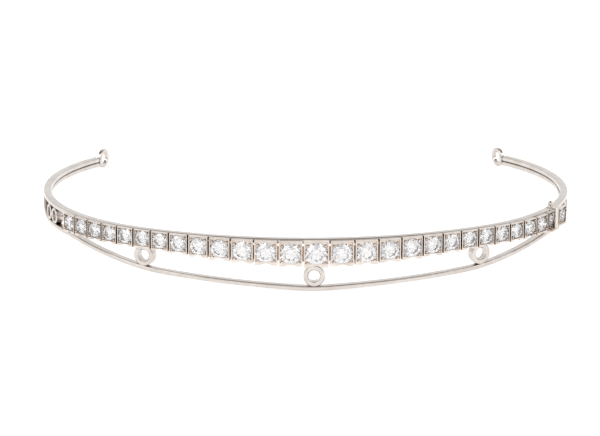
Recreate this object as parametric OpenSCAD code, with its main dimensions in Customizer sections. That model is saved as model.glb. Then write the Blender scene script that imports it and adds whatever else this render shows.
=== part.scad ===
// Bridal tiara: an open frame of two polished rails, with a detachable
// diamond line bracelet hung in front of it.
// Millimetres, +Z up, front of the tiara towards -Y, resting as it does on a
// table: on the front of its lower rail and on the two end eyelets.

/* [Band] */
// Radius of the flat front of the band, outer face
front_r = 93.8; // [85:0.1:110]
// Radius of the sides and arms, outer face
side_r = 48.4; // [44:0.1:54]
// Angle from the middle of the front to where the side radius starts
shoulder_a = 28.4; // [24:0.2:32]
// Angle from the middle of the front to the end of each arm
arm_a = 132.6; // [120:0.2:140]
// Radial width of both rails
rail_w = 2.15; // [1.8:0.05:2.6]
// Height of the upper rail
upper_h = 1.25; // [1:0.05:1.6]
// Height of the lower rail
lower_h = 1.2; // [1:0.05:1.6]
// Rounding of the rail edges
rail_round = 0.35; // [0.1:0.05:0.5]

/* [Lower rail route] */
// Depth of the lower rail's underside at the middle of the front
drop_front = 13.7; // [12:0.1:16]
// Depth of the underside over the two side loops
drop_side = 6.6; // [6:0.1:8]
// Depth of the underside along the arms
drop_arm = 2.58; // [2.5:0.01:3]

/* [Loops and eyelets] */
// Outer radius of the three front loops
loop_r = 2.75; // [2.2:0.05:3]
// Bore radius of the three front loops
loop_bore_r = 1.5; // [1.3:0.05:1.7]
// Length of every loop tube
loop_len = 2.1; // [1.8:0.1:2.4]
// Angle of the left and right front loops from the middle
loop_a = 27.4; // [24:0.1:30]
// Outer radius of the small side loops
side_loop_r = 2.1; // [2:0.01:2.2]
// Bore radius of the small side loops
side_bore_r = 1.35; // [1:0.05:1.6]
// Angles of the two small side loops from the middle
side_loop_a = [68.9, 74.4]; // [60:0.1:80]
// Outer radius of the end eyelets
eyelet_r = 2.55; // [2.2:0.05:3]
// Bore radius of the end eyelets
eyelet_bore_r = 1.45; // [1:0.05:1.8]
// Thickness of the end eyelets
eyelet_t = 1.1; // [0.8:0.05:1.5]
// Height of the eyelet centre below the top of the upper rail
eyelet_drop = 0.65; // [0:0.05:1.3]
// Turn of the eyelets away from the line of the arm
eyelet_turn = 18.5; // [0:0.5:25]

/* [Diamond row] */
// Width of the middle collet, the largest
collet_mid_w = 6.3; // [6:0.05:6.6]
// Width of the collets next to it
collet_large_w = 5.92; // [5.6:0.02:6.2]
// Width of the collets along the sides, the smallest
collet_end_w = 4.46; // [4:0.02:4.9]
// Gap between neighbouring collets
collet_gap = 0.42; // [0.3:0.02:0.6]
// Number of collets from the middle over which the sizes graduate
graduation = 8.5; // [6:0.5:12]
// Collets in the row, and the place of the middle one
row_count = 27; // [27:1:27]
row_middle = 14; // [14:1:14]
// Offset of the middle collet from the middle of the front
row_shift = 0.4; // [-1:0.1:1]
// Depth of the middle collet's centre below the top of the upper rail
row_drop_mid = 2.75; // [2:0.05:3.5]
// Depth of the side collets' centres below the top of the upper rail
row_drop_end = 1.6; // [1.3:0.05:1.8]
// Pitch from the last collet of the row to the clasp collet
clasp_pitch = 5.7; // [5.4:0.1:6.2]

/* [Safety catch] */
// Width of the catch bar
catch_w = 1.5; // [1.2:0.1:1.8]
// Thickness of the catch bar
catch_t = 0.45; // [0.35:0.05:0.6]
// Radius of the catch's finger knob
knob_r = 0.68; // [0.5:0.02:0.8]

/* [Resting pose] */
// Slope of the upper rail's plane when the tiara rests on a table
rest_tilt = 6.89; // [6:0.01:7.6]
// Height of the rail plane above the table at the side-arc centres
rest_lift = 7.26; // [7:0.01:8]
// Distance from the middle of the whole depth back to the side-arc centres
rest_back = 10.89; // [8:0.01:13]

/* [Hidden] */
row_names = [for (k = [1 : row_count]) str("collet_", k < 10 ? "0" : "", k)];
stone_groups = ["stones_01_03", "stones_04_06", "stones_07_09", "stones_10_12", "stones_13_15",
                "stones_16_18", "stones_19_21", "stones_22_24", "stones_25_27"];

// Fineness of round surfaces
$fn = 48;
// Overlap that joins solids of one piece
join = 0.05;
// White gold, rhodium plated, and brilliant-cut diamond
gold = [0.86, 0.85, 0.83];
diamond = [0.93, 0.95, 0.98, 0.75];

// The band in plan: one front arc and two side arcs that meet it tangentially.
// A place on it is an angle a from the middle of the front, positive to the
// right, and an offset off outwards from the band's outer face.
arc_dx = (front_r - side_r) * sin(shoulder_a);
arc_dy = (front_r - side_r) * cos(shoulder_a);
function band_point(a, off) =
    abs(a) <= shoulder_a
        ? [(front_r + off) * sin(a), arc_dy - (front_r + off) * cos(a)]
        : [sign(a) * arc_dx + (side_r + off) * sin(a), -(side_r + off) * cos(a)];
function arc_length(r, a) = r * a * PI / 180;
function length_angle(s, r) = s / r * 180 / PI;
function band_angle(s, off) =
    let (front = arc_length(front_r + off, shoulder_a))
    abs(s) <= front ? length_angle(s, front_r + off)
                    : sign(s) * (shoulder_a + length_angle(abs(s) - front, side_r + off));
function band_length(a, off) =
    abs(a) <= shoulder_a
        ? arc_length(front_r + off, a)
        : sign(a) * (arc_length(front_r + off, shoulder_a) + arc_length(side_r + off, abs(a) - shoulder_a));

// Local frame on the band: X along it, -Y outwards, Z up
module on_band(a, off = 0, z = 0) {
    p = band_point(a, off);
    translate([p[0], p[1], z]) rotate([0, 0, a]) children();
}

// From the flat band frame to the resting pose on the table
module at_rest() {
    translate([0, rest_back, rest_lift]) rotate([-rest_tilt, 0, 0]) children();
}

// ---- Rails ----

// Depth of the lower rail's underside, by distance from the middle of the front
route = [[0, drop_front], [22, drop_front - 1.25], [43, drop_front - 2.5], [50, drop_front - 3.6],
         [60, drop_side + 1.75], [69, drop_side + 0.3], [75, drop_side], [90, drop_side],
         [101, drop_arm], [300, drop_arm]];
route_blend = [-3, -2, -1, 0, 1, 2, 3];
function route_at(s) = lookup(abs(s), route);
function sum(v, i = 0) = i < len(v) ? v[i] + sum(v, i + 1) : 0;
function lower_depth(s) = sum([for (d = route_blend) route_at(s + d)]) / len(route_blend);

// Ring of points around a rail's section, corners rounded
corner_steps = 3;
function section_corner(cx, cz, start) =
    [for (i = [0 : corner_steps - 1])
        let (t = start + 90 * i / (corner_steps - 1))
        [cx + rail_round * cos(t), cz + rail_round * sin(t)]];
function rail_section(h) = concat(
    section_corner(-rail_round, h - rail_round, 0),
    section_corner(rail_round - rail_w, h - rail_round, 90),
    section_corner(rail_round - rail_w, rail_round, 180),
    section_corner(-rail_round, rail_round, 270));

// A rail of height h along the whole band, its underside at the given height at each station
rail_rings = 110;
stations = [for (i = [0 : rail_rings]) band_length(arm_a, 0) * (2 * i / rail_rings - 1)];
module rail(h, undersides) {
    section = rail_section(h);
    n = len(section);
    points = [for (i = [0 : rail_rings], q = section)
        let (p = band_point(band_angle(stations[i], 0), q[0])) [p[0], p[1], q[1] + undersides[i]]];
    sides = [for (i = [0 : rail_rings - 1], j = [0 : n - 1])
        let (k = (j + 1) % n) [i * n + j, i * n + k, (i + 1) * n + k, (i + 1) * n + j]];
    first_cap = [[for (j = [n - 1 : -1 : 0]) j]];
    last_cap = [[for (j = [0 : n - 1]) rail_rings * n + j]];
    color(gold) at_rest() polyhedron(points, concat(sides, first_cap, last_cap), convexity = 6);
}
module upper_rail() rail(upper_h, [for (s = stations) -upper_h]);
module lower_rail() rail(lower_h, [for (s = stations) -lower_depth(s)]);

// ---- Loops, struts and eyelets ----

loop_chamfer = 0.18;
module ring(r, bore, len) {
    rotate([90, 0, 0]) rotate_extrude() polygon([
        [bore, loop_chamfer - len / 2], [bore + loop_chamfer, -len / 2],
        [r - loop_chamfer, -len / 2], [r, loop_chamfer - len / 2],
        [r, len / 2 - loop_chamfer], [r - loop_chamfer, len / 2],
        [bore + loop_chamfer, len / 2], [bore, len / 2 - loop_chamfer]]);
}

// Height of a front loop's centre: its tube is soldered on top of the lower rail
function loop_z(a) = lower_h + loop_r - join - lower_depth(band_length(a, 0));
module front_loop(a) {
    color(gold) at_rest() on_band(a, -rail_w / 2, loop_z(a)) ring(loop_r, loop_bore_r, loop_len);
}
module front_loop_left() front_loop(-loop_a);
module front_loop_centre() front_loop(0);
module front_loop_right() front_loop(loop_a);

// Flat strut behind the row, from a front loop up to the upper rail
strut_w = 1.3;
strut_t = 0.9;
module strut(a) {
    low = loop_z(a) + loop_r - 2 * join;
    high = join - upper_h;
    color(gold) at_rest() on_band(a, -rail_w / 2, 0)
        translate([-strut_w / 2, -strut_t / 2, low]) cube([strut_w, strut_t, high - low]);
}
module strut_left() strut(-loop_a);
module strut_centre() strut(0);
module strut_right() strut(loop_a);

side_loop_z = (lower_h - drop_side - upper_h) / 2;
module side_loop(a) {
    color(gold) at_rest() on_band(a, -rail_w / 2, side_loop_z) ring(side_loop_r, side_bore_r, loop_len);
}
module side_loop_left_front() side_loop(-side_loop_a[0]);
module side_loop_left_rear() side_loop(-side_loop_a[1]);
module side_loop_right_front() side_loop(side_loop_a[0]);
module side_loop_right_rear() side_loop(side_loop_a[1]);

// Centre of an eyelet, just past the end of the arm
eyelet_a = arm_a + 2.9;
module end_eyelet(side) {
    p = band_point(side * eyelet_a, -rail_w / 2);
    color(gold) at_rest() translate([p[0], p[1], -eyelet_drop]) rotate([0, 0, side * (eyelet_a - eyelet_turn)])
        ring(eyelet_r, eyelet_bore_r, eyelet_t);
}
module end_eyelet_left() end_eyelet(-1);
module end_eyelet_right() end_eyelet(1);

// ---- Diamond row ----

// Offset of the stones' girdles from the band, and of the collets' backs
girdle_off = 2.7;
collet_back = 0.25;
// Graduation from 1 at the middle collet to 0 along the sides
function grade(k) =
    let (t = min(1, abs(k - row_middle) / graduation)) (1 + cos(180 * t)) / 2;
function collet_w(k) =
    k == row_middle ? collet_mid_w : collet_end_w + (collet_large_w - collet_end_w) * grade(k);
function collet_z(k) = -row_drop_end - (row_drop_mid - row_drop_end) * grade(k);
function collet_s(k) =
    k == row_middle ? row_shift
    : k > row_count ? collet_s(row_count) + clasp_pitch
    : let (n = k > row_middle ? k - 1 : k + 1)
      collet_s(n) + sign(k - row_middle) * (collet_gap + (collet_w(k) + collet_w(n)) / 2);
function collet_a(k) = band_angle(collet_s(k), girdle_off);
module at_collet(k) { on_band(collet_a(k), 0, collet_z(k)) children(); }

// Round brilliant: table, star, kite and girdle facets over a pavilion.
// The axis is Z, the girdle's top edge at z = 0, radius 1.
table_r = 0.56;
crown_angle = 34.5;
star_r = 0.8;
girdle_h = 0.05;
pavilion_angle = 40.8;
half_r = 0.24;
function polar(r, t, z) = [r * cos(t), r * sin(t), z];
function brilliant_points() = let (
        crown = tan(crown_angle),
        pavilion = tan(pavilion_angle),
        half = cos(22.5))
    concat(
        [for (i = [0 : 7]) polar(table_r, 45 * i, (1 - table_r) * crown)],
        [for (i = [0 : 7]) polar(star_r, 45 * i + 22.5, (1 - star_r * half) * crown)],
        [for (i = [0 : 15]) polar(1, 22.5 * i, 0)],
        [for (i = [0 : 15]) polar(1, 22.5 * i, -girdle_h)],
        [for (i = [0 : 7]) polar(half_r, 45 * i + 22.5, -girdle_h - (1 - half_r * half) * pavilion)],
        [[0, 0, -girdle_h - pavilion]]);
star0 = 8;
top0 = 16;
low0 = 32;
half0 = 48;
culet0 = 56;
brilliant_faces = concat(
    [[for (i = [7 : -1 : 0]) i]],
    [for (i = [0 : 7]) [i, (i + 1) % 8, star0 + i]],
    [for (i = [0 : 7]) [i, star0 + i, top0 + 2 * i, star0 + (i + 7) % 8]],
    [for (i = [0 : 7]) [star0 + i, top0 + 2 * i + 1, top0 + 2 * i]],
    [for (i = [0 : 7]) [star0 + i, top0 + (2 * i + 2) % 16, top0 + 2 * i + 1]],
    [for (i = [0 : 15]) [top0 + i, top0 + (i + 1) % 16, low0 + (i + 1) % 16, low0 + i]],
    [for (i = [0 : 7]) [low0 + 2 * i, low0 + 2 * i + 1, half0 + i]],
    [for (i = [0 : 7]) [low0 + 2 * i + 1, low0 + (2 * i + 2) % 16, half0 + i]],
    [for (i = [0 : 7]) [low0 + 2 * i, half0 + i, culet0, half0 + (i + 7) % 8]]);

// Radius of a stone, and its depth below the centre of its collet
stone_part = 0.48;
clasp_stone_part = 0.42;
stone_drop_mid = 0.45;
stone_turn = 13; // each stone is turned by this much more than the one before
function stone_r(k) = (k > row_count ? clasp_stone_part : stone_part) * collet_w(k);
function stone_drop(k) = stone_drop_mid * grade(k);
module at_stone(k) { at_collet(k) translate([0, -girdle_off, -stone_drop(k)]) rotate([90, 0, 0]) children(); }
module stone(k) {
    at_stone(k) rotate([0, 0, stone_turn * k]) scale(stone_r(k))
        polyhedron(brilliant_points(), brilliant_faces);
}

// Space cut for a stone: a double cone a hair larger than the brilliant
seat_play = 0.01;
module stone_space(k) {
    r = stone_r(k) + seat_play;
    rise = r * tan(crown_angle);
    fall = r * tan(pavilion_angle);
    edge = girdle_h * r;
    at_stone(k) rotate_extrude() polygon([[0, -edge - fall], [r, -edge], [r, 0], [0, rise]]);
}

// A collet: a box with a raised rim, corner plates with a small claw each, two feet
// below, a top wall that slopes down towards the back, arches through its walls,
// and an open back
wall = 0.38;
plate_rise = 0.05; // front of the corner plates, above the top edge of the girdle
hollow_taper = 0.12; // narrowing of the hollow towards the back, by the collet's width
seat_land = 0.5; // depth of metal between the hollow and the girdle
slope_from = 2.3; // offset from the band where the top wall starts to slope down to the back
slope_fall = 0.75;
rim_part = 0.045;
rim_h = 0.25;
claw_r = 0.055;
claw_at = 0.35;
claw_rise = 0.3;
foot_w = 0.25;
foot_h_mid = 0.75;
foot_h_end = 0.4;
arch_r = 0.26;
lug_part = 0.6; // height of a lug, and its depth below the centre, by the collet's width
lug_low = 0.12;
lug_w = 0.9;
lug_y = 1.05;
lug_reach = 0.8;
lug_play = 0.08;
rivet_in = 0.45;
rivet_r = 0.24;
rivet_grip = 0.35; // length of rivet held above and below the lug
rivet_play = 0.03;
function rivet_len(w) = lug_part * w + 2 * rivet_grip;
function foot_h(k) = foot_h_end + (foot_h_mid - foot_h_end) * grade(k);

// Box of a collet: the rim stands proud of the plate that holds the stone
module collet_box(k) {
    w = collet_w(k);
    front = girdle_off + plate_rise + rim_h;
    inner = (1 - 2 * rim_part) * w;
    difference() {
        translate([-w / 2, -front, -w / 2 - foot_h(k)]) cube([w, front - collet_back, w + foot_h(k)]);
        translate([-inner / 2, -front - join, -inner / 2]) cube([inner, rim_h + join, inner]);
    }
}

// Cylinder that cuts the arch between the feet, up to the edge of the stone
module foot_arch(k) {
    w = collet_w(k);
    half = (0.5 - foot_w) * w;
    bottom = -w / 2 - foot_h(k);
    rise = join - stone_drop(k) - stone_r(k) - bottom;
    r = (half * half + rise * rise) / (2 * rise);
    translate([0, 0, bottom + rise - r]) rotate([90, 0, 0]) cylinder(r = r, h = 2 * girdle_off);
}

module collet_claws(k) {
    w = collet_w(k);
    for (x = [-1, 1], z = [-1, 1])
        translate([x * claw_at * w, -girdle_off, z * claw_at * w - stone_drop(k)]) rotate([90, 0, 0]) {
            translate([0, 0, -join]) cylinder(r = claw_r * w, h = claw_rise + join);
            translate([0, 0, claw_rise]) sphere(claw_r * w);
        }
}

// Hollow behind the stone and the arches through the walls, all open at the back
module collet_hollow(k) {
    w = collet_w(k);
    translate([0, -collet_back + join, -stone_drop(k)]) rotate([90, 0, 0])
        cylinder(r1 = w / 2 - wall - hollow_taper * w, r2 = w / 2 - wall,
                 h = girdle_off - collet_back - seat_land);
    for (t = [0, 90])
        rotate([0, t, 0]) translate([0, -collet_back, -w]) cylinder(r = arch_r * w, h = 2 * w);
}

// Wedge cut off the top wall, which slopes down towards the back
module top_slope(w) {
    fall_rate = slope_fall / (slope_from - collet_back);
    rotate([90, 0, 90]) translate([0, 0, -w]) linear_extrude(2 * w) polygon([
        [-slope_from, w / 2], [join - collet_back, w / 2 - slope_fall - join * fall_rate],
        [join - collet_back, w / 2 + join], [-slope_from, w / 2 + join]]);
}

module at_rivet(w) { translate([rivet_in - w / 2, -lug_y, -lug_low * w]) children(); }

// Slot and rivet hole in a collet's left wall for its neighbour's lug
module lug_slot(w) {
    translate([-w / 2 - join, -lug_y - lug_w / 2 - lug_play, -(lug_low + lug_part / 2) * w - lug_play])
        cube([lug_reach + lug_play + join, lug_w + 2 * lug_play, lug_part * w + 2 * lug_play]);
    at_rivet(w) cylinder(r = rivet_r, h = rivet_len(w), center = true);
}

// Lug of collet k - 1, drawn in the frame of collet k whose wall it enters
module lug(k) {
    w = collet_w(k);
    back = collet_gap + wall;
    at_collet(k) difference() {
        translate([-w / 2 - back, -lug_y - lug_w / 2, -(lug_low + lug_part / 2) * w])
            cube([back + lug_reach, lug_w, lug_part * w]);
        at_rivet(w) cylinder(r = rivet_r + rivet_play, h = w, center = true);
    }
}

module collet(k) {
    color(gold) at_rest() {
        difference() {
            at_collet(k) {
                collet_box(k);
                collet_claws(k);
            }
            stone_space(k);
            at_collet(k) {
                collet_hollow(k);
                top_slope(collet_w(k));
                if (k < row_count) foot_arch(k);
                if (k > 1 && k <= row_count) lug_slot(collet_w(k));
            }
        }
        if (k < row_count) lug(k + 1);
        if (k == row_count) at_collet(k) translate([catch_x, 0, 0]) catch_ears();
    }
}

// The clasp head has a closed back, with a pad soldered to the upper rail
plate_t = 0.35;
pad_w = 3.2;
pad_in = 0.15;
module clasp_collet() {
    k = row_count + 1;
    w = collet_w(k);
    collet(k);
    color(gold) at_rest() {
        at_collet(k) translate([-w / 2, -collet_back - plate_t, -w / 2]) cube([w, plate_t, w - slope_fall]);
        on_band(collet_a(k), 0, pad_in - upper_h) translate([-pad_w / 2, -collet_back - join, 0])
            cube([pad_w, collet_back + 3 * join, upper_h - 2 * pad_in]);
    }
}
module clasp_stone() { color(diamond) at_rest() stone(row_count + 1); }

module link_rivets() {
    color(gold) at_rest() for (k = [2 : row_count])
        at_collet(k) at_rivet(collet_w(k)) cylinder(r = rivet_r, h = rivet_len(collet_w(k)), center = true);
}

module stone_group(i) { color(diamond) at_rest() for (k = [3 * i + 1 : 3 * i + 3]) stone(k); }

// ---- Tongues and keepers: how the row hangs on the frame ----

// Blade that lies along Y under the upper rail, and its foot on the end collet
blade_x = 60.7;
blade_t = 0.6;
blade_front = -29;
blade_back = -24.9;
blade_low = -3;
blade_high = -1.55;
foot_in = 0.4;
foot_out = 1.4;
foot_t = 0.62;
module tongue(side) {
    k = side < 0 ? 1 : row_count;
    color(gold) at_rest() {
        translate([side * blade_x - blade_t / 2, blade_front, blade_low])
            cube([blade_t, blade_back - blade_front - blade_t / 2, blade_high - blade_low]);
        translate([side * blade_x, blade_back - blade_t / 2, blade_low])
            cylinder(d = blade_t, h = blade_high - blade_low);
        on_band(collet_a(k), 0, blade_low)
            translate([side > 0 ? foot_in : -foot_out, -collet_back - join, 0])
            cube([foot_out - foot_in, foot_t, blade_high - blade_low]);
    }
}
module tongue_left() tongue(-1);
module tongue_right() tongue(1);

// Channel under the upper rail that holds a blade
keeper_front = -27.1;
keeper_back = -25.1;
keeper_wall = 0.4;
blade_play = 0.07;
module keeper(side) {
    inner = blade_t / 2 + blade_play;
    outer = inner + keeper_wall;
    low = blade_low - blade_play;
    high = blade_high + blade_play;
    color(gold) at_rest() difference() {
        translate([side * blade_x - outer, keeper_front, low - keeper_wall])
            cube([2 * outer, keeper_back - keeper_front, join - upper_h - low + keeper_wall]);
        translate([side * blade_x - inner, keeper_front - join, low])
            cube([2 * inner, keeper_back - keeper_front + 2 * join, high - low]);
    }
}
module keeper_left() keeper(-1);
module keeper_right() keeper(1);

// ---- Safety catch over the last collet ----

catch_x = 0.3;
hinge_out = 3.5;
hinge_down = 0.12;
barrel_r = 0.5;
pin_r = 0.25;
pin_play = 0.04;
pin_end = 0.1;
ear_w = 0.45;
ear_gap = 0.08;
bar_top = 3.4;
bar_back = 1.15;
knob_rise = 1.3;
module at_catch() { at_rest() at_collet(row_count) translate([catch_x, 0, 0]) children(); }
catch_hinge_z = -collet_end_w / 2 - hinge_down;
module along_hinge(r, from, to) {
    translate([from, -hinge_out, catch_hinge_z]) rotate([0, 90, 0]) cylinder(r = r, h = to - from);
}

// Ears under the last collet that carry the hinge pin
module catch_ears() {
    for (side = [-1, 1]) {
        from = side > 0 ? catch_w / 2 + ear_gap : -catch_w / 2 - ear_gap - ear_w;
        difference() {
            union() {
                along_hinge(barrel_r, from, from + ear_w);
                translate([from, -hinge_out, catch_hinge_z - barrel_r])
                    cube([ear_w, hinge_out - girdle_off - rim_h / 2, 2 * barrel_r]);
            }
            along_hinge(pin_r, from - join, from + ear_w + join);
        }
    }
}
module catch_pin() {
    reach = catch_w / 2 + ear_gap + ear_w + pin_end;
    color(gold) at_catch() along_hinge(pin_r, -reach, reach);
}
module catch_bar() {
    front = hinge_out + barrel_r;
    color(gold) at_catch() {
        difference() {
            union() {
                along_hinge(barrel_r, -catch_w / 2, catch_w / 2);
                translate([-catch_w / 2, -front, catch_hinge_z])
                    cube([catch_w, catch_t, bar_top - catch_hinge_z]);
            }
            along_hinge(pin_r + pin_play, -catch_w, catch_w);
        }
        translate([-catch_w / 2, -front, bar_top - catch_t]) cube([catch_w, front - bar_back, catch_t]);
        translate([0, -bar_back - catch_w / 2, bar_top - join]) {
            cylinder(r1 = catch_w / 2, r2 = knob_r / 2, h = knob_r);
            translate([0, 0, knob_rise * knob_r]) sphere(knob_r);
        }
    }
}

upper_rail();
lower_rail();
front_loop_left();
front_loop_centre();
front_loop_right();
strut_left();
strut_centre();
strut_right();
side_loop_left_front();
side_loop_left_rear();
side_loop_right_front();
side_loop_right_rear();
end_eyelet_left();
end_eyelet_right();
keeper_left();
keeper_right();
tongue_left();
tongue_right();
catch_bar();
catch_pin();
clasp_collet();
clasp_stone();
link_rivets();
for (k = [1 : row_count]) collet(k);
for (i = [0 : len(stone_groups) - 1]) stone_group(i);
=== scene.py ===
"""Bridal tiara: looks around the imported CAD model. Metres, +Z up, front towards -Y."""
import math

import bpy
from mathutils import Matrix, Vector


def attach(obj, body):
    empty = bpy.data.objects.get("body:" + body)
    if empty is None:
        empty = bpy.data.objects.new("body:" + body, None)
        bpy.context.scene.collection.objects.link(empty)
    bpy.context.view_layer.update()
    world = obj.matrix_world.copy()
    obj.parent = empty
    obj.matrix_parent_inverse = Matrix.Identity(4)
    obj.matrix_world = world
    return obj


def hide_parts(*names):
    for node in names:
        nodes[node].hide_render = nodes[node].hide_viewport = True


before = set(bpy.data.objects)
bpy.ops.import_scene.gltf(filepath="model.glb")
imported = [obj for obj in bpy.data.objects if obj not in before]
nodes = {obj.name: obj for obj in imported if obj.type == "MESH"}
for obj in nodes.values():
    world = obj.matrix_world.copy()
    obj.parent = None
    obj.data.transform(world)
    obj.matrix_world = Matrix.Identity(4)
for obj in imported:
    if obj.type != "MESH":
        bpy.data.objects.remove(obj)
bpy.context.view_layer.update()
scene = bpy.context.scene


# ---- Materials ----

GAP_SAMPLES, EDGE_SAMPLES = 12, 6
EDGE_COSINES = (0.72, 0.99)  # between softened and true normal: full painted edge highlight, none
PLATING_SCALE, STAIN_SCALE, SCRATCH_SCALE = 300.0, 900.0, 1900.0  # cycles per metre
FIRE_SCALE = 1300.0
FIRE_COOL, FIRE_WARM = (0.93, 0.96, 1.0), (1.0, 0.965, 0.955)
DIAMOND_CLARITY = 0.94  # share of the light that passes, below 1 for a softer stone

def new_material(name):
    """A node material with one Principled shader; returns the material, its tree and the shader."""
    material = bpy.data.materials.new(name)
    material.use_nodes = True
    tree = material.node_tree
    return material, tree, tree.nodes["Principled BSDF"]


def add(tree, kind, **values):
    """Adds a node and sets its inputs by name."""
    node = tree.nodes.new(kind)
    for key, value in values.items():
        node.inputs[key.replace("_", " ")].default_value = value
    return node


def object_noise(tree, scale, detail=3.0):
    """Noise fixed to the object's own coordinates, at a scale in cycles per metre."""
    place = tree.nodes.new("ShaderNodeTexCoord")
    noise = add(tree, "ShaderNodeTexNoise", Scale=scale, Detail=detail)
    tree.links.new(place.outputs["Object"], noise.inputs["Vector"])
    return noise.outputs["Fac"]


def spread(tree, source, low, high, start=0.3, end=0.7):
    """Maps start..end of a value onto low..high, held at both ends."""
    node = tree.nodes.new("ShaderNodeMapRange")
    node.inputs["From Min"].default_value = start
    node.inputs["From Max"].default_value = end
    node.inputs["To Min"].default_value = low
    node.inputs["To Max"].default_value = high
    tree.links.new(source, node.inputs["Value"])
    return node.outputs["Result"]


def arithmetic(tree, operation, first, second):
    """One math node on two values or sockets."""
    node = tree.nodes.new("ShaderNodeMath")
    node.operation = operation
    for socket, value in zip(node.inputs, (first, second)):
        if isinstance(value, (int, float)):
            socket.default_value = value
        else:
            tree.links.new(value, socket)
    return node.outputs["Value"]


def colour_mix(tree, factor, dark, light):
    """Blends two colours by a 0..1 value; each may be a socket."""
    node = tree.nodes.new("ShaderNodeMix")
    node.data_type = "RGBA"
    for socket, colour in ((node.inputs["A"], dark), (node.inputs["B"], light)):
        if isinstance(colour, tuple):
            socket.default_value = (*colour, 1)
        else:
            tree.links.new(colour, socket)
    tree.links.new(factor, node.inputs["Factor"])
    return node.outputs["Result"]


def openness(tree, reach):
    """1 on open faces, falling to 0 deep in gaps and corners narrower than the reach."""
    node = add(tree, "ShaderNodeAmbientOcclusion", Distance=reach)
    node.samples = GAP_SAMPLES
    return node.outputs["AO"]


def edge_highlight_mask(tree, round_edge):
    """0 on flat faces, up to 1 where the softened normal leaves the true one at an edge; the mask of
    the painted edge highlight.
    """
    shape = tree.nodes.new("ShaderNodeNewGeometry")
    compare = tree.nodes.new("ShaderNodeVectorMath")
    compare.operation = "DOT_PRODUCT"
    tree.links.new(round_edge.outputs["Normal"], compare.inputs[0])
    tree.links.new(shape.outputs["True Normal"], compare.inputs[1])
    return spread(tree, compare.outputs["Value"], 1.0, 0.0, *EDGE_COSINES)


def white_gold(name, light, worn, gap_shade, reach, gap_shade_at, rough, edge):
    """Rhodium-plated white gold: polished, with a warm tone where the plating has worn,
    brown painted shade in the gaps and corners, painted highlights on the open edges and fine
    scratches."""
    material, tree, shader = new_material(name)
    shader.inputs["Metallic"].default_value = 1.0
    plating = spread(tree, object_noise(tree, PLATING_SCALE, 4.0), 0, 1)
    body = colour_mix(tree, plating, worn, light)
    # Painted shade: the colour turns brown where the occlusion mask finds gaps and corners, and a
    # little in random stains
    open_face = spread(tree, openness(tree, reach), 0, 1, *gap_shade_at)
    stained = spread(tree, object_noise(tree, STAIN_SCALE, 5.0), 0.82, 1.0)
    unshaded_unstained = arithmetic(tree, "MULTIPLY", open_face, stained)
    wear = object_noise(tree, SCRATCH_SCALE, 5.0)
    tree.links.new(spread(tree, wear, *rough), shader.inputs["Roughness"])
    round_edge = tree.nodes.new("ShaderNodeBevel")
    round_edge.samples = EDGE_SAMPLES
    round_edge.inputs["Radius"].default_value = edge
    # Painted highlight: the colour turns near-white along open edges
    edge_highlight = arithmetic(tree, "MULTIPLY", edge_highlight_mask(tree, round_edge), open_face)
    shaded_stained_metal = colour_mix(tree, unshaded_unstained, gap_shade, body)
    tree.links.new(colour_mix(tree, edge_highlight, shaded_stained_metal, EDGE_HIGHLIGHT), shader.inputs["Base Color"])
    bump = add(tree, "ShaderNodeBump", Strength=0.12, Distance=0.00002)
    tree.links.new(wear, bump.inputs["Height"])
    tree.links.new(round_edge.outputs["Normal"], bump.inputs["Normal"])
    tree.links.new(bump.outputs["Normal"], shader.inputs["Normal"])
    return material


def diamond(name):
    """Clear brilliant-cut diamond."""
    material, tree, shader = new_material(name)
    fire = spread(tree, object_noise(tree, FIRE_SCALE, 1.0), 0, 1, 0.35, 0.65)
    tree.links.new(colour_mix(tree, fire, FIRE_COOL, FIRE_WARM), shader.inputs["Base Color"])
    shader.inputs["Roughness"].default_value = 0.035
    shader.inputs["IOR"].default_value = 2.417
    shader.inputs["Transmission Weight"].default_value = DIAMOND_CLARITY
    return material


RAIL_LIGHT, RAIL_WORN = (0.66, 0.63, 0.605), (0.56, 0.52, 0.49)
COLLET_LIGHT, COLLET_WORN = (0.75, 0.705, 0.66), (0.60, 0.54, 0.485)
# Near-white painted highlight for edges
EDGE_HIGHLIGHT = (0.90, 0.88, 0.86)
# Brown painted shade for gaps and corners, mixed in by occlusion
RAIL_GAP_SHADE, COLLET_GAP_SHADE = (0.42, 0.33, 0.28), (0.34, 0.24, 0.18)
rail_gold = white_gold("rail_gold", RAIL_LIGHT, RAIL_WORN, RAIL_GAP_SHADE, reach=0.0013,
                       gap_shade_at=(0.18, 0.62), rough=(0.10, 0.20), edge=0.00008)
collet_gold = white_gold("collet_gold", COLLET_LIGHT, COLLET_WORN, COLLET_GAP_SHADE, reach=0.0011,
                         gap_shade_at=(0.34, 0.88), rough=(0.08, 0.18), edge=0.00010)
brilliant = diamond("brilliant")
STONE_NODES = [name for name in nodes if name.startswith("stones_") or name == "clasp_stone"]
ROW_GOLD = [name for name in nodes
            if name.startswith(("collet_", "tongue_", "catch_", "link_")) or name == "clasp_collet"]
for name, piece in nodes.items():
    piece.data.materials.clear()
    if name in STONE_NODES:
        piece.data.materials.append(brilliant)
    elif name in ROW_GOLD:
        piece.data.materials.append(collet_gold)
    else:
        piece.data.materials.append(rail_gold)


# ---- Smooth rails ----

# The band's lines in millimetres, as in the CAD source: a flat front arc, two side arcs,
# and the resting pose
FRONT_R, SIDE_R, SHOULDER, ARM_END = 93.8, 48.4, math.radians(28.4), math.radians(132.6)
ARC_DX, ARC_DY = (FRONT_R - SIDE_R) * math.sin(SHOULDER), (FRONT_R - SIDE_R) * math.cos(SHOULDER)
REST_TILT, REST_LIFT, REST_BACK = math.radians(6.89), 7.26, 10.89
RAIL_W, UPPER_H, LOWER_H, RAIL_ROUND = 2.15, 1.25, 1.2, 0.35
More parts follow.
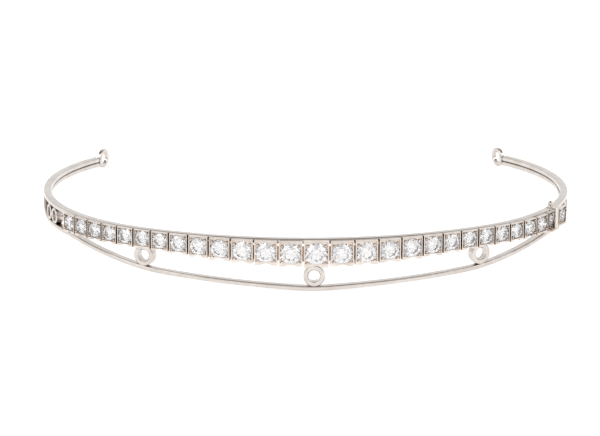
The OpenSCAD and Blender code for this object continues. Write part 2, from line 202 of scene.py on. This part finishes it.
# Depth of the lower rail's underside by distance from the middle of the front,
# and half the width over which its bends are eased
ROUTE = [(0, 13.7), (22, 12.45), (43, 11.2), (50, 10.1), (60, 8.35), (69, 6.9), (75, 6.6), (90, 6.6),
         (101, 2.58), (300, 2.58)]
ROUTE_EASE = 3
RINGS, CORNER_STEPS = 440, 6
MM = 0.001


def band_point(angle, offset):
    """A place in plan by its angle from the middle of the front and its offset outwards."""
    if abs(angle) <= SHOULDER:
        radius = FRONT_R + offset
        return radius * math.sin(angle), ARC_DY - radius * math.cos(angle)
    radius = SIDE_R + offset
    return math.copysign(ARC_DX, angle) + radius * math.sin(angle), -radius * math.cos(angle)


def band_angle(length):
    """The angle at a length along the outer face from the middle of the front."""
    front = FRONT_R * SHOULDER
    if abs(length) <= front:
        return length / FRONT_R
    return math.copysign(SHOULDER + (abs(length) - front) / SIDE_R, length)


def route_depth(length):
    """The plain route, straight between its listed depths."""
    length = abs(length)
    for (start, first), (end, last) in zip(ROUTE, ROUTE[1:]):
        if length <= end:
            return first + (last - first) * (length - start) / (end - start)
    return ROUTE[-1][1]


def lower_depth(length):
    """Depth of the lower rail's underside, eased over the bends of its route."""
    shifts = range(-ROUTE_EASE, ROUTE_EASE + 1)
    return sum(route_depth(length + shift) for shift in shifts) / len(shifts)


def rail_section(height):
    """Corner-rounded section of a rail: offsets from the outer face and heights."""
    corners = ((-RAIL_ROUND, height - RAIL_ROUND, 0), (RAIL_ROUND - RAIL_W, height - RAIL_ROUND, 90),
               (RAIL_ROUND - RAIL_W, RAIL_ROUND, 180), (-RAIL_ROUND, RAIL_ROUND, 270))
    ring = []
    for across, up, start in corners:
        for step in range(CORNER_STEPS):
            turn = math.radians(start + 90 * step / (CORNER_STEPS - 1))
            ring.append((across + RAIL_ROUND * math.cos(turn), up + RAIL_ROUND * math.sin(turn)))
    return ring


def smooth_rail(name, node, height, underside):
    """The rail of a CAD node with a finer sweep and rounder edges."""
    section = rail_section(height)
    count = len(section)
    half = FRONT_R * SHOULDER + SIDE_R * (ARM_END - SHOULDER)
    tilt_cos, tilt_sin = math.cos(REST_TILT), math.sin(REST_TILT)
    points, faces = [], []
    for ring in range(RINGS + 1):
        length = half * (2 * ring / RINGS - 1)
        for across, up in section:
            x, y = band_point(band_angle(length), across)
            z = up + underside(length)
            points.append((x * MM, (y * tilt_cos + z * tilt_sin + REST_BACK) * MM,
                           (z * tilt_cos - y * tilt_sin + REST_LIFT) * MM))
    for ring in range(RINGS):
        for side in range(count):
            after = (side + 1) % count
            faces.append((ring * count + side, (ring + 1) * count + side,
                          (ring + 1) * count + after, ring * count + after))
    faces.append(tuple(range(count)))
    faces.append(tuple(RINGS * count + side for side in reversed(range(count))))
    mesh = bpy.data.meshes.new(name)
    mesh.from_pydata(points, [], faces)
    mesh.validate()
    mesh.polygons.foreach_set("use_smooth", [len(face) == 4 for face in faces])
    mesh.materials.append(rail_gold)
    piece = bpy.data.objects.new(name, mesh)
    scene.collection.objects.link(piece)
    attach(piece, "frame")
    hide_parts(node)


smooth_rail("upper_rail_smooth", "upper_rail", UPPER_H, lambda length: -UPPER_H)
smooth_rail("lower_rail_smooth", "lower_rail", LOWER_H, lambda length: -lower_depth(length))


# ---- Floor, light and camera ----

WALL_LIGHT, CEILING_LIGHT = (1.0, 0.995, 0.99), (0.27, 0.235, 0.21)
CEILING_EDGE = (0.55, 0.85)  # sines of the elevations between which the wall turns into the ceiling
FLOOR_DARK, FLOOR_LIGHT = (0.93, 0.93, 0.93), (0.95, 0.95, 0.95)
FLOOR_GLOW = 0.62  # a light table: keeps shadows on the floor faint


def floor():
    """Pale studio floor, far larger than the object."""
    material, tree, shader = new_material("studio_floor")
    grain = object_noise(tree, 60.0)
    tree.links.new(colour_mix(tree, grain, FLOOR_DARK, FLOOR_LIGHT), shader.inputs["Base Color"])
    shader.inputs["Roughness"].default_value = 0.9
    shader.inputs["Emission Color"].default_value = (1, 1, 1, 1)
    shader.inputs["Emission Strength"].default_value = FLOOR_GLOW
    bpy.ops.mesh.primitive_plane_add(size=30, location=(0, 0, 0))
    plane = bpy.context.object
    plane.name = "studio_floor"
    plane.data.materials.append(material)


def soft_light(name, place, aim, size, power):
    """A square softbox that looks at a point."""
    data = bpy.data.lights.new(name, "AREA")
    data.shape = "RECTANGLE"
    data.size, data.size_y = size
    data.energy = power
    lamp = bpy.data.objects.new(name, data)
    lamp.location = place
    lamp.rotation_euler = (Vector(aim) - Vector(place)).to_track_quat("-Z", "Y").to_euler()
    scene.collection.objects.link(lamp)


def studio():
    """White walls under a dim ceiling, and two softboxes."""
    world = bpy.data.worlds.new("studio")
    scene.world = world
    world.use_nodes = True
    tree = world.node_tree
    place = tree.nodes.new("ShaderNodeTexCoord")
    split = tree.nodes.new("ShaderNodeSeparateXYZ")
    tree.links.new(place.outputs["Generated"], split.inputs["Vector"])
    height = spread(tree, split.outputs["Z"], 0, 1, *CEILING_EDGE)
    sky = tree.nodes["Background"]
    tree.links.new(colour_mix(tree, height, WALL_LIGHT, CEILING_LIGHT), sky.inputs["Color"])
    soft_light("key", (-0.9, -0.5, 0.9), (0, 0, 0), (0.7, 0.7), 2.6)
    soft_light("fill", (0.95, -0.4, 0.8), (0, 0, 0), (0.6, 0.6), 1.4)


def camera():
    """A long lens a little left of the middle, looking down on the tiara."""
    azimuth, elevation, roll = math.radians(-2.5), math.radians(21.4), math.radians(0.64)
    distance = 0.875
    band_centre = Vector((0, 0.01089, 0.00726))
    look = Vector((-math.sin(azimuth) * math.cos(elevation),
                   math.cos(azimuth) * math.cos(elevation), -math.sin(elevation)))
    right = look.cross(Vector((0, 0, 1))).normalized()
    up = right.cross(look)
    place = band_centre - look * distance
    aim = band_centre - right * 0.00147 - up * 0.00869
    lens = bpy.data.cameras.new("camera")
    lens.sensor_width = 36
    lens.lens = 196.3
    lens.clip_end = 50
    eye = bpy.data.objects.new("camera", lens)
    turn = (aim - place).to_track_quat("-Z", "Y").to_matrix().to_4x4()
    eye.matrix_world = Matrix.Translation(place) @ turn @ Matrix.Rotation(roll, 4, "Z")
    scene.collection.objects.link(eye)
    scene.camera = eye


floor()
studio()
camera()
scene.view_settings.view_transform = "Standard"
